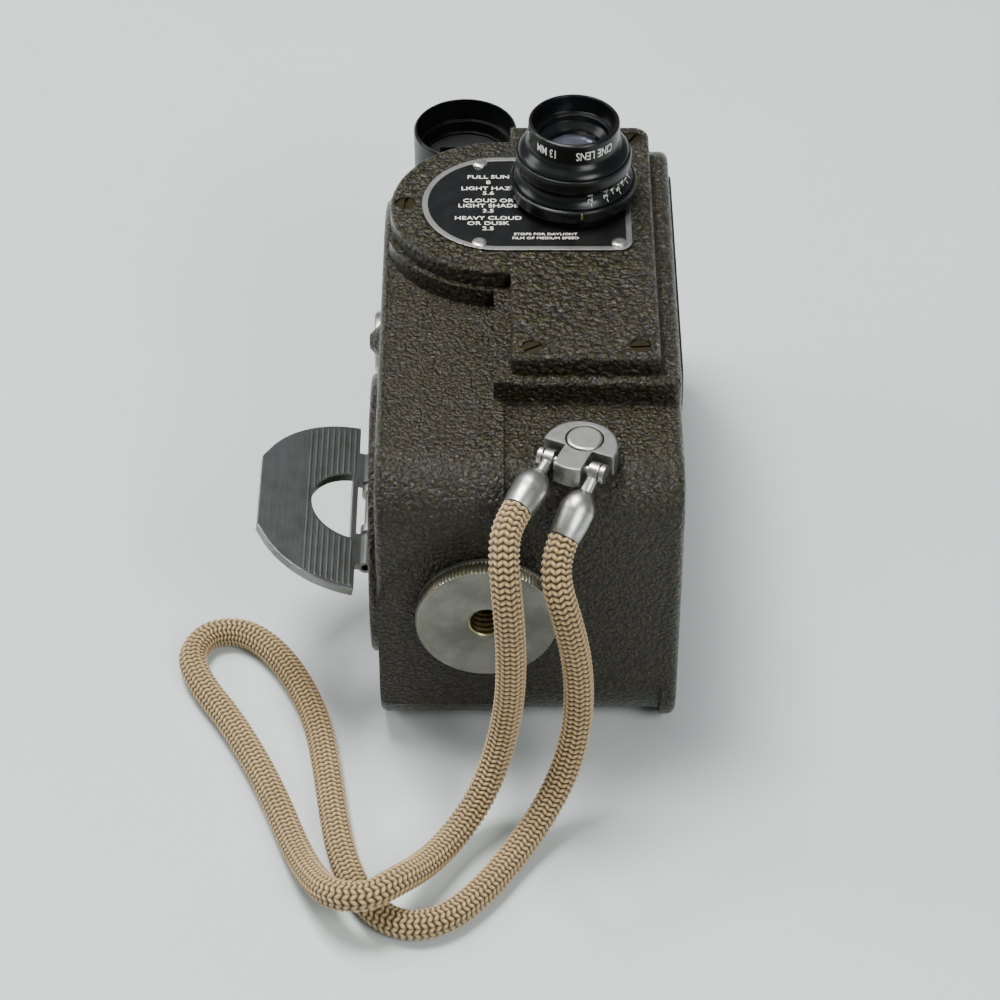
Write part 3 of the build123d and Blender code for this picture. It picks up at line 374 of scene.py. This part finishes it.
def built_piece(name, build, material, body):
    """A piece from a bmesh, which is freed."""
    mesh = bpy.data.meshes.new(name)
    build.to_mesh(mesh)
    build.free()
    return piece_of(mesh, material, body)


def ring_faces(rings, count, closed):
    """Quads between loops of count vertices; closed joins the last loop to the first."""
    faces = []
    for ring in range(rings if closed else rings - 1):
        near = ring * count
        far = (ring + 1) % rings * count
        for step in range(count):
            beside = (step + 1) % count
            faces.append((near + step, near + beside, far + beside, far + step))
    return faces


def turned_piece(name, profile, place, material, body, segments, ripple):
    """Ring-shaped solid: profile is a closed loop of (radius, height) in mm, place a matrix.

    ripple gives what is added to the radius, from the place in the profile and the angle."""
    vertices = []
    for index, (radius, height) in enumerate(profile):
        for step in range(segments):
            angle = 2 * math.pi * step / segments
            r = radius + ripple(index, angle)
            point = Vector((r * math.cos(angle), r * math.sin(angle), height)) * MM
            vertices.append(place @ point)
    faces = ring_faces(len(profile), segments, closed=True)
    piece = make_piece(name, vertices, faces, material, body)
    piece.data.set_sharp_from_angle(angle=math.radians(35))
    return piece


def boxes(name, places, material, body):
    """Small bars in one piece: each place is (matrix, size in mm)."""
    build = bmesh.new()
    for matrix, size in places:
        scale = Matrix.Diagonal((*[side * MM for side in size], 1))
        bmesh.ops.create_cube(build, size=1, matrix=matrix @ scale)
    piece = built_piece(name, build, material, body)
    bevel = piece.modifiers.new("soft_edges", "BEVEL")
    bevel.width = 0.06 * MM
    bevel.segments = 2
    return piece


def letter_mesh(text, size):
    """Flat characters, centred on zero, in mm, a hair thick."""
    curve = bpy.data.curves.new("letters", "FONT")
    curve.body = text
    curve.size = size
    curve.align_x = "CENTER"
    curve.align_y = "CENTER"
    curve.extrude = 0.02
    curve.offset = 0.007 * size
    curve.resolution_u = 3
    holder = bpy.data.objects.new("letters", curve)
    mesh = bpy.data.meshes.new_from_object(holder)
    bpy.data.objects.remove(holder)
    return mesh


def lettering(name, rows, body):
    """One piece of printing. Each row is (text, size in mm, function from flat mm to metres)."""
    build = bmesh.new()
    for text, size, place in rows:
        mesh = letter_mesh(text, size)
        for vertex in mesh.vertices:
            vertex.co = place(vertex.co)
        build.from_mesh(mesh)
        bpy.data.meshes.remove(mesh)
    return built_piece(name, build, WHITE, body)


# ---- wrist strap ----
CORD_DIAMETER = 5.3 * MM
CORD_ROUTE = (
    (0.6, -5.6, 62.2),
    (-1.2, -9.1, 61.5),
    (-1.7, -13.0, 58.9),
    (-1.3, -15.8, 54.0),
    (-0.7, -17.2, 46.8),
    (-0.3, -17.6, 37.8),
    (-0.6, -17.4, 27.4),
    (-2.3, -18.2, 16.6),
    (-5.4, -21.8, 8.4),
    (-10.2, -28.2, 4.6),
    (-15.6, -36.2, 5.6),
    (-20.4, -43.2, 9.4),
    (-25.6, -47.2, 9.6),
    (-31.2, -45.8, 8.8),
    (-35.0, -39.0, 5.4),
    (-38.6, -30.0, 3.0),
    (-42.2, -19.6, 2.8),
    (-46.6, -9.0, 2.8),
    (-52.2, 2.0, 2.8),
    (-58.2, 11.2, 2.8),
    (-61.0, 18.6, 2.8),
    (-58.0, 24.8, 2.8),
    (-51.2, 25.8, 2.8),
    (-44.8, 20.2, 2.8),
    (-39.6, 11.2, 2.8),
    (-35.8, 1.0, 2.8),
    (-33.8, -10.0, 2.8),
    (-32.2, -21.2, 2.8),
    (-30.2, -32.0, 2.8),
    (-26.6, -41.6, 2.8),
    (-20.4, -47.6, 2.8),
    (-12.6, -47.0, 2.8),
    (-5.8, -40.4, 2.8),
    (0.0, -31.6, 3.0),
    (4.8, -24.8, 5.2),
    (8.8, -20.0, 10.6),
    (11.2, -17.0, 18.8),
    (11.7, -15.6, 28.0),
    (10.9, -15.0, 37.0),
    (9.1, -14.6, 45.4),
    (7.4, -13.0, 51.2),
    (7.3, -10.1, 55.0),
    (8.7, -7.2, 57.2),
)


def route_line():
    """Points along the smooth NURBS line of the route, in metres."""
    curve = bpy.data.curves.new("strap_route", "CURVE")
    curve.dimensions = "3D"
    spline = curve.splines.new("NURBS")
    spline.points.add(len(CORD_ROUTE) - 1)
    for point, place in zip(spline.points, CORD_ROUTE):
        point.co = (*(Vector(place) * MM + ROUTE_ZERO), 1)
    spline.order_u = 3
    spline.use_endpoint_u = True
    spline.resolution_u = 24
    holder = bpy.data.objects.new("strap_route", curve)
    mesh = bpy.data.meshes.new_from_object(holder)
    line = [vertex.co.copy() for vertex in mesh.vertices]
    bpy.data.objects.remove(holder)
    bpy.data.meshes.remove(mesh)
    return line


def evenly(line, step):
    """The same line with its points a set step apart."""
    lengths = [0.0]
    for before, after in zip(line, line[1:]):
        lengths.append(lengths[-1] + (after - before).length)
    count = round(lengths[-1] / step)
    points = []
    at = 0
    for index in range(count + 1):
        goal = lengths[-1] * index / count
        while lengths[at + 1] < goal and at < len(line) - 2:
            at += 1
        share = (goal - lengths[at]) / (lengths[at + 1] - lengths[at])
        points.append(line[at].lerp(line[at + 1], share))
    return points, lengths[-1]


COLUMNS = 16
STITCH = 1.05 * MM
SIDES = COLUMNS * 7
RINGS_PER_STITCH = 6
BRAID_ROOT_R = CORD_DIAMETER / 2 - 0.42 * MM
BRAID_RISE = 0.50 * MM


def yarn_height(column_place, along):
    """Height of a herringbone yarn, 0 to 1: slanted stitches, the slant turning at each column."""
    column = math.floor(column_place)
    across = 2 * (column_place - column) - 1
    slant = 1 if column % 2 else -1
    phase = along / STITCH + 0.24 * slant * across
    yarn = abs(math.sin(math.pi * phase)) ** 1.3
    groove = (1 - across ** 2) ** 0.5
    return (0.12 + 0.88 * groove) * (0.10 + 0.90 * yarn)


def make_strap():
    points, length = evenly(route_line(), STITCH / RINGS_PER_STITCH)
    side = Vector((1, 0, 0))
    vertices = []
    heights = []
    for index, point in enumerate(points):
        before = points[max(index - 1, 0)]
        after = points[min(index + 1, len(points) - 1)]
        along = (after - before).normalized()
        side = (side - along * side.dot(along)).normalized()
        up = along.cross(side)
        travelled = length * index / (len(points) - 1)
        for step in range(SIDES):
            angle = 2 * math.pi * step / SIDES
            rise = yarn_height(COLUMNS * (step + 0.5) / SIDES, travelled)
            heights.append(rise)
            radius = BRAID_ROOT_R + BRAID_RISE * rise
            vertices.append(point + radius * (math.cos(angle) * side + math.sin(angle) * up))
    faces = ring_faces(len(points), SIDES, closed=False)
    faces.append(tuple(reversed(range(SIDES))))
    faces.append(tuple(range(len(vertices) - SIDES, len(vertices))))
    strap = make_piece("strap_braid", vertices, faces, KHAKI, "strap")
    strap.data.attributes.new("yarn_height", "FLOAT", "POINT").data.foreach_set("value", heights)
    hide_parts("strap_cord")
    [tuple(point) for point in points[::7] + [points[-1]]]


# ---- tripod bush ----
KNURLS = 110
KNURL_DEPTH = 0.20
KNURL_SEGMENTS = KNURLS * 4
THREAD_PITCH = 1.27
THREAD_ROOT_R = 2.95
THREAD_DEPTH = 0.24
THREAD_TURNS = 5
STEPS_PER_TURN = 6


def make_bush():
    """Knurled disc with a countersunk threaded hole."""
    low_y = low("tripod_bush").y
    place = Matrix.Translation((BUSH.x, low_y, BUSH.z)) @ Matrix.Rotation(math.radians(-90), 4, "X")
    outer = (high("tripod_bush").x - low("tripod_bush").x) / 2 / MM
    profile = [(outer - 0.1, 3.65), (outer - 0.1, 3.0), (outer, 2.9), (outer, 0.45)]
    knurled = (2, 3)
    profile += [(outer - 0.25, 0.15), (outer - 0.5, 0.0), (outer - 1.1, 0.06), (outer - 3.0, 0.1)]
    profile += [(4.2, 0.1), (3.7, 0.02), (3.25, 0.45)]
    first_thread = len(profile)
    for step in range(THREAD_TURNS * STEPS_PER_TURN):
        profile.append((THREAD_ROOT_R, 0.6 + step * THREAD_PITCH / STEPS_PER_TURN))
    last_thread = len(profile)
    profile += [(2.6, 8.6), (4.9, 8.8), (4.9, 3.75)]

    def ripple(index, angle):
        if index in knurled:
            return KNURL_DEPTH * math.cos(KNURLS * angle) - KNURL_DEPTH
        if first_thread <= index < last_thread:
            turn = (index - first_thread) / STEPS_PER_TURN + angle / (2 * math.pi)
            return THREAD_DEPTH * abs(2 * (turn % 1) - 1)
        return 0.0

    disc = turned_piece(
        "tripod_disc", profile, place, ZINC, "camera_body", KNURL_SEGMENTS, ripple
    )
    disc.data.materials.append(KNURL_METAL)
    disc.data.materials.append(THREAD_BRASS)
    for face in disc.data.polygons:
        ring = face.index // KNURL_SEGMENTS
        if ring in (1, 2, 3):
            face.material_index = 1
        elif first_thread - 1 <= ring <= last_thread:
            face.material_index = 2
    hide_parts("tripod_bush")


# ---- winding key ----
def arc_centre(tip_x, corner):
    """Place and radius of the arc through corner and (tip_x, 0), symmetric about y = 0."""
    dx = corner[0] - tip_x
    radius = (dx ** 2 + corner[1] ** 2) / (2 * dx)
    return tip_x + radius, radius


KEY_LEAN = 14.0
HOLE_TIP_X = -10.8
HOLE_CORNER = (-3.2, 8.6)
RIBS = 9
RIB_FIRST_X = -3.0
RIB_PITCH = 1.05
RIB_WIDTH = 0.5
RIB_HEIGHT = 0.16
RIB_MIDDLE = 0.79


def make_key_ribs():
    """Fine pressed ribs over the inner half of the key, both sides of its finger hole."""
    plate = Matrix.Translation(HINGE) @ Matrix.Rotation(math.radians(KEY_LEAN), 4, "Y")
    hole_x, hole_r = arc_centre(HOLE_TIP_X, HOLE_CORNER)
    bars = []
    for rib in range(RIBS):
        x = RIB_FIRST_X - RIB_PITCH * rib
        edge = 21.2 - 0.016 * (x + 2.2) ** 2 - 0.08 * abs(x + 2.2)
        gap = hole_r ** 2 - (x - hole_x) ** 2
        inner = math.sqrt(gap) + 0.5 if gap > 0 and x > HOLE_TIP_X - 0.1 else 0.0
        spans = ((inner, edge), (-edge, -inner)) if inner else ((-edge, edge),)
        for start, end in spans:
            for face in (-1, 1):
                middle = Vector((x, (start + end) / 2, face * RIB_MIDDLE)) * MM
                size = (RIB_WIDTH, end - start, RIB_HEIGHT)
                bars.append((plate @ Matrix.Translation(middle), size))
    ribs = boxes("key_ribs", bars, KEY, "key")


# ---- lens and plate ----
# half-profile of the aperture ring's waist: (height over the ring's foot, radius) in mm
WAIST = (
    (0.0, 11.2),
    (0.45, 10.6),
    (1.05, 10.15),
    (1.85, 9.9),
    (2.45, 10.1),
    (2.95, 10.55),
    (3.65, 10.8),
    (5.0, 10.8),
)
# (degrees round the lens axis, words)
STOPS = ((-73, "2.5"), (-55, "3.5"), (-46, "4"), (-37, "5.6"), (-28, "8"), (-19, "11"), (-10, "16"))
RIM_WORDS = (
    (-128, "13 MM"),
    (-62, "CINE LENS"),
    (-2, "1 : 2.5"),
    (52, "13 MM"),
    (118, "CINE LENS"),
    (180, "1 : 2.5"),
)
STOP_SIZE = 1.3
RIM_SIZE = 2.5
RIM_R = 8.45


def waist_radius(height):
    """Radius of the aperture ring at a height over its foot, in mm."""
    for (below, r_below), (above, r_above) in zip(WAIST, WAIST[1:]):
        if height <= above:
            break
    share = max(0.0, (height - below) / (above - below))
    return r_below + share * (r_above - r_below)


def lens_point(angle, radius, z):
    out = Vector((radius * math.cos(angle), radius * math.sin(angle), z)) * MM
    return Vector((LENS.x, LENS.y, 0)) + out


def make_index_marks():
    """Stops on the ring's waist, words round the front rim and the index on the mount."""
    foot = low("aperture_ring").z / MM

    def up_the_waist(turn):
        def place(flat):
            height = 1.65 + 1.35 * flat.x
            radius = waist_radius(height) + 0.16 + flat.z
            return lens_point(math.radians(turn) - flat.y / radius, radius, foot + height)
        return place

    rows = []
    for turn, stop in STOPS:
        rows.append(("-" + stop, STOP_SIZE, up_the_waist(turn)))
    numbers = lettering("aperture_numbers", rows, "aperture")

    rim_z = high("lens_barrel").z / MM - 2.2

    def round_the_rim(turn):
        def place(flat):
            angle = math.radians(turn) - 0.66 * flat.x / RIM_R
            return lens_point(angle, RIM_R + 0.02 + flat.z, rim_z - flat.y)
        return place

    rows = []
    for turn, words in RIM_WORDS:
        rows.append((words, RIM_SIZE, round_the_rim(turn)))
    rim = lettering("lens_rim_marks", rows, "camera_body")

    turn = math.radians(-83)
    middle = lens_point(turn, 11.75, centre("lens_mount_ring").z / MM + 2.9)
    mark = Matrix.Translation(middle) @ Matrix.Rotation(turn, 4, "Z")
    index = boxes("aperture_index", [(mark, (0.24, 0.35, 1.4))], GOLD_INDEX, "camera_body")


# rows of the exposure plate: (words, distance in mm over the middle of the plate)
PLATE_ROWS = (
    ("FULL SUN", 8.1),
    ("8", 6.4),
    ("LIGHT HAZE", 4.5),
    ("5.6", 3.0),
    ("CLOUD OR", 0.7),
    ("LIGHT SHADE", -0.9),
    ("3.5", -2.5),
    ("HEAVY CLOUD", -4.7),
    ("OR DUSK", -6.3),
    ("2.5", -7.9),
)
SMALL_ROWS = (("STOPS FOR DAYLIGHT", -9.6), ("FILM OF MEDIUM SPEED", -10.8))
# (rows, size of the letters and middle of the column from the plate's left end, in mm)
PLATE_COLUMNS = ((PLATE_ROWS, 1.5, 12.4), (SMALL_ROWS, 0.95, 23.0))
PLATE_CORNER_R = 2.6 * MM


def flat_on_plate(x, y):
    def place(flat):
        return Vector((x, y, PLATE_TOP)) + Vector((1.22 * flat.x, flat.y, flat.z + 0.015)) * MM
    return place


def make_plate_printing():
    """Exposure rows of the plate, in plain words and stops."""
    left = low("exposure_plate")
    mid_y = centre("exposure_plate").y
    rows = []
    for table, size, column in PLATE_COLUMNS:
        for words, rise in table:
            rows.append((words, size, flat_on_plate(left.x + column * MM, mid_y + rise * MM)))
    printing = lettering("exposure_table", rows, "camera_body")


def make_plate_border():
    """Bare metal rim of the plate, a flat loop that follows its outline."""
    left = low("exposure_plate")
    right = high("exposure_plate")
    radius = (right.y - left.y) / 2
    mid = Vector((left.x + radius, (left.y + right.y) / 2))

    def outline(inset):
        points = []
        for step in range(49):
            angle = math.radians(90 + 180 * step / 48)
            points.append(mid + (radius - inset) * Vector((math.cos(angle), math.sin(angle))))
        for turn, y in ((-90, left.y + PLATE_CORNER_R), (0, right.y - PLATE_CORNER_R)):
            middle = Vector((right.x - PLATE_CORNER_R, y))
            for step in range(9):
                angle = math.radians(turn + 90 * step / 8)
                out = Vector((math.cos(angle), math.sin(angle)))
                points.append(middle + (PLATE_CORNER_R - inset) * out)
        return points

    vertices = []
    loops = ((0.05, -0.1), (0.05, 0.06), (1.15, 0.06), (1.15, -0.1))
    for inset, rise in loops:
        for point in outline(inset * MM):
            vertices.append((point.x, point.y, PLATE_TOP + rise * MM))
    faces = ring_faces(len(loops), len(vertices) // len(loops), closed=True)
    border = make_piece(
        "exposure_plate_border", vertices, faces, ALUMINIUM, "camera_body", smooth=False
    )


# ---- room ----
def soft_light(name, place, size, power, aim):
    light = bpy.data.lights.new(name, "AREA")
    light.shape = "RECTANGLE"
    light.size = size[0]
    light.size_y = size[1]
    light.energy = power
    holder = bpy.data.objects.new(name, light)
    holder.location = place
    holder.rotation_euler = (Vector(aim) - Vector(place)).to_track_quat("-Z", "Y").to_euler()
    bpy.context.scene.collection.objects.link(holder)


def make_room():
    bpy.ops.mesh.primitive_plane_add(size=6, location=(0, 0, 0))
    floor = bpy.context.object
    floor.name = "floor"
    surface = Paint("pale_table", Specular_IOR_Level=0.35)
    cloud = surface.noise(120.0, 3.0)
    colour = surface.ramp(cloud, (0.3, (0.545, 0.585, 0.570)), (0.7, (0.565, 0.605, 0.590)))
    surface.set("Base Color", colour)
    surface.set("Roughness", surface.levels(cloud, 0.3, 0.7, 0.42, 0.5))
    floor.data.materials.append(surface.material)
    world = bpy.data.worlds.new("soft_room")
    bpy.context.scene.world = world
    world.use_nodes = True
    world.node_tree.nodes["Background"].inputs[0].default_value = (0.90, 0.95, 1.0, 1)
    world.node_tree.nodes["Background"].inputs[1].default_value = 0.28
    soft_light("overhead", (-0.22, 0.18, 1.15), (0.45, 0.40), 20.0, (0, 0, 0.03))
    soft_light("glint", (-0.30, 0.50, 0.95), (0.14, 0.14), 3.0, (0, 0, 0.03))
    soft_light("window", (-1.0, 0.25, 0.65), (0.5, 0.5), 6.0, (0, 0, 0.03))
    soft_light("room_side", (0.42, -0.60, 0.62), (0.4, 0.4), 6.0, (0.1, -0.15, 0.0))


# camera, from the route's zero, in mm; it looks down along +Y
CAMERA_FROM_ZERO = Vector((-2.3, -410.7, 429.2))
CAMERA_TILT = 48.0
CAMERA_LENS = 115.2


def make_camera():
    camera = bpy.data.cameras.new("photo_camera")
    camera.lens = CAMERA_LENS
    camera.sensor_width = 36.0
    camera.clip_start = 0.01
    holder = bpy.data.objects.new("photo_camera", camera)
    holder.location = ROUTE_ZERO + CAMERA_FROM_ZERO * MM
    holder.rotation_euler = (math.radians(CAMERA_TILT), 0, 0)
    bpy.context.scene.collection.objects.link(holder)
    bpy.context.scene.camera = holder


make_camera()
finish_nodes()
make_strap()
make_bush()
make_key_ribs()
make_index_marks()
make_plate_printing()
make_plate_border()
make_room()
